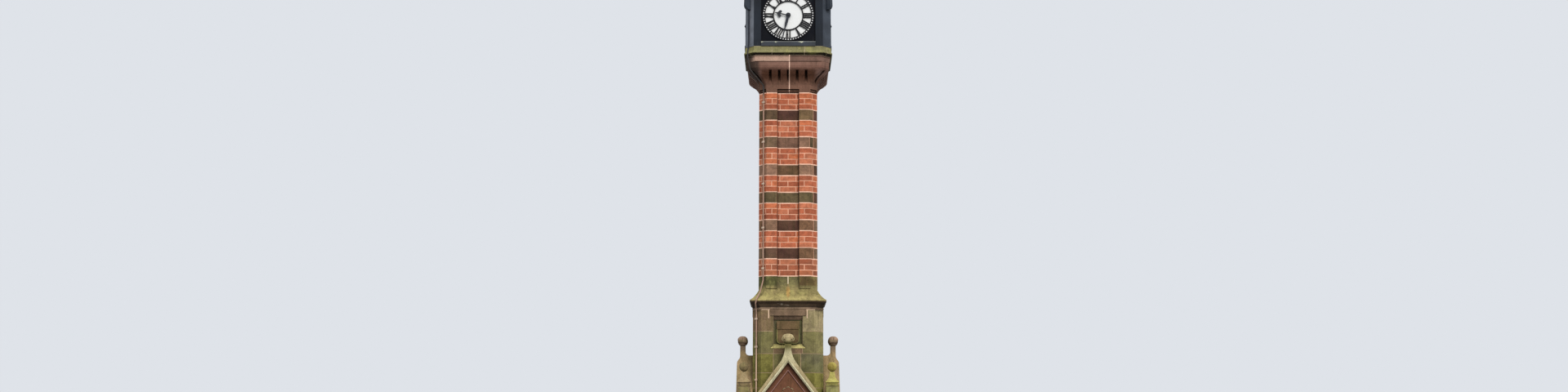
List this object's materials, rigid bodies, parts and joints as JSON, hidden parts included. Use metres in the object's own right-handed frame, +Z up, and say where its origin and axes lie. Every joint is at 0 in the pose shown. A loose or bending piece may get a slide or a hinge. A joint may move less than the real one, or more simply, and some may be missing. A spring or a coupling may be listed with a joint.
{
  "type": "memorial clock tower",
  "caption": "Free-standing clock tower with a gableted stone base, banded brick shaft, flared corbel course and an iron clock case with a dial on every side.",
  "frame": {"origin": "centre of the underside of the lowest step, on the ground", "axes": "+Z up, the front dial faces -Y, +X to the right seen from the front"},
  "size_m": [2.36, 2.36, 9.831],
  "materials": {
    "step_stone": "rough",
    "base_stone": "rough",
    "finial_stone": "rough",
    "gablet_stone": "rough",
    "red_stone": "rough",
    "splay_stone": "rough",
    "brick": "rough",
    "band_stone": "rough",
    "corbel_stone": "rough",
    "string_stone": "rough",
    "case_paint": "painted",
    "opal_glass": "satin",
    "dial_iron": "painted",
    "hand_metal": "painted",
    "roof_lead": "matt",
    "conduit_paint": "painted"
  },
  "bodies": {
    "tower": {"base_block": "base_stone", "base_moulding": "base_stone", "case_brackets": "case_paint", "clock_case": "case_paint", "conduit": "conduit_paint", "conduit_saddles": "conduit_paint", "corbel_course": "corbel_stone", "corner_pier_back_left": "base_stone", "corner_pier_back_right": "base_stone", "corner_pier_front_left": "base_stone", "corner_pier_front_right": "base_stone", "dial_frames": "dial_iron", "dial_glasses": "opal_glass", "dial_sills": "case_paint", "eaves_cornice": "case_paint", "gablet_back": "gablet_stone", "gablet_front": "gablet_stone", "gablet_left": "gablet_stone", "gablet_right": "gablet_stone", "label_mouldings": "base_stone", "lower_stage": "base_stone", "lower_step": "step_stone", "pier_finial_back_left": "finial_stone", "pier_finial_back_right": "finial_stone", "pier_finial_front_left": "finial_stone", "pier_finial_front_right": "finial_stone", "plinth_course": "base_stone", "roof": "roof_lead", "roof_finial": "case_paint", "shaft_bands": "band_stone", "shaft_brickwork": "brick", "shield_sills": "base_stone", "shield_tablets": "base_stone", "string_course": "string_stone", "tympanum_panels": "red_stone", "upper_step": "step_stone", "weathered_splay": "splay_stone"},
    "hour_hand_back_body": {"hour_hand_back": "hand_metal"},
    "hour_hand_front_body": {"hour_hand_front": "hand_metal"},
    "hour_hand_left_body": {"hour_hand_left": "hand_metal"},
    "hour_hand_right_body": {"hour_hand_right": "hand_metal"},
    "minute_hand_back_body": {"minute_hand_back": "hand_metal"},
    "minute_hand_front_body": {"minute_hand_front": "hand_metal"},
    "minute_hand_left_body": {"minute_hand_left": "hand_metal"},
    "minute_hand_right_body": {"minute_hand_right": "hand_metal"}
  },
  "joints": [
    {"name": "front_minute", "type": "hinge", "parent": "tower", "child": "minute_hand_front_body", "pos_m": [0, -0.64, 7.508], "axis": [0, 1, 0], "continuous": true},
    {"name": "front_hour", "type": "hinge", "parent": "tower", "child": "hour_hand_front_body", "pos_m": [0, -0.64, 7.508], "axis": [0, 1, 0], "continuous": true},
    {"name": "right_minute", "type": "hinge", "parent": "tower", "child": "minute_hand_right_body", "pos_m": [0.64, 0, 7.508], "axis": [-1, 0, 0], "continuous": true},
    {"name": "right_hour", "type": "hinge", "parent": "tower", "child": "hour_hand_right_body", "pos_m": [0.64, 0, 7.508], "axis": [-1, 0, 0], "continuous": true},
    {"name": "back_minute", "type": "hinge", "parent": "tower", "child": "minute_hand_back_body", "pos_m": [0, 0.64, 7.508], "axis": [0, -1, 0], "continuous": true},
    {"name": "back_hour", "type": "hinge", "parent": "tower", "child": "hour_hand_back_body", "pos_m": [0, 0.64, 7.508], "axis": [0, -1, 0], "continuous": true},
    {"name": "left_minute", "type": "hinge", "parent": "tower", "child": "minute_hand_left_body", "pos_m": [-0.64, 0, 7.508], "axis": [1, 0, 0], "continuous": true},
    {"name": "left_hour", "type": "hinge", "parent": "tower", "child": "hour_hand_left_body", "pos_m": [-0.64, 0, 7.508], "axis": [1, 0, 0], "continuous": true}
  ],
  "couplings": [
    {"joint": "front_hour", "follows": "front_minute", "ratio": 0.083333},
    {"joint": "right_minute", "follows": "front_minute", "ratio": 1},
    {"joint": "right_hour", "follows": "front_minute", "ratio": 0.083333},
    {"joint": "back_minute", "follows": "front_minute", "ratio": 1},
    {"joint": "back_hour", "follows": "front_minute", "ratio": 0.083333},
    {"joint": "left_minute", "follows": "front_minute", "ratio": 1},
    {"joint": "left_hour", "follows": "front_minute", "ratio": 0.083333}
  ]
}
